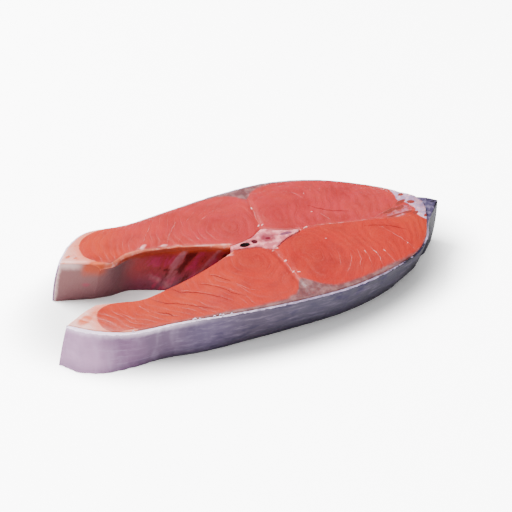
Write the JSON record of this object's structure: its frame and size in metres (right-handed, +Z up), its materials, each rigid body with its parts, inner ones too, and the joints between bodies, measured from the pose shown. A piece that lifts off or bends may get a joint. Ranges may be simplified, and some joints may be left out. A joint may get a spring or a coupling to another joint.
{
  "type": "raw fish steak",
  "caption": "Raw steak cut across a salmon, lying flat: orange flesh with belly flaps round an open cavity, thin skin round the outside and the cut backbone in the middle.",
  "frame": {"origin": "middle of the floor area under the steak, on the surface that it rests on", "axes": "+X towards the ridge of the back, -X towards the open ends of the belly flaps, +Y across the fish, +Z up, out of the upper cut"},
  "size_m": [0.2182, 0.1018, 0.0266],
  "materials": {
    "flesh": "moist raw salmon flesh, salmon pink to orange, with paler lines between the flakes",
    "skin": "thin wet fish skin, silver lavender at the belly, dark blue grey at the back",
    "backbone": "cut bone and gristle, pinkish white, with dark vessels"
  },
  "bodies": {
    "root": {"flesh": "flesh", "skin": "skin", "backbone": "backbone"}
  },
  "joints": []
}
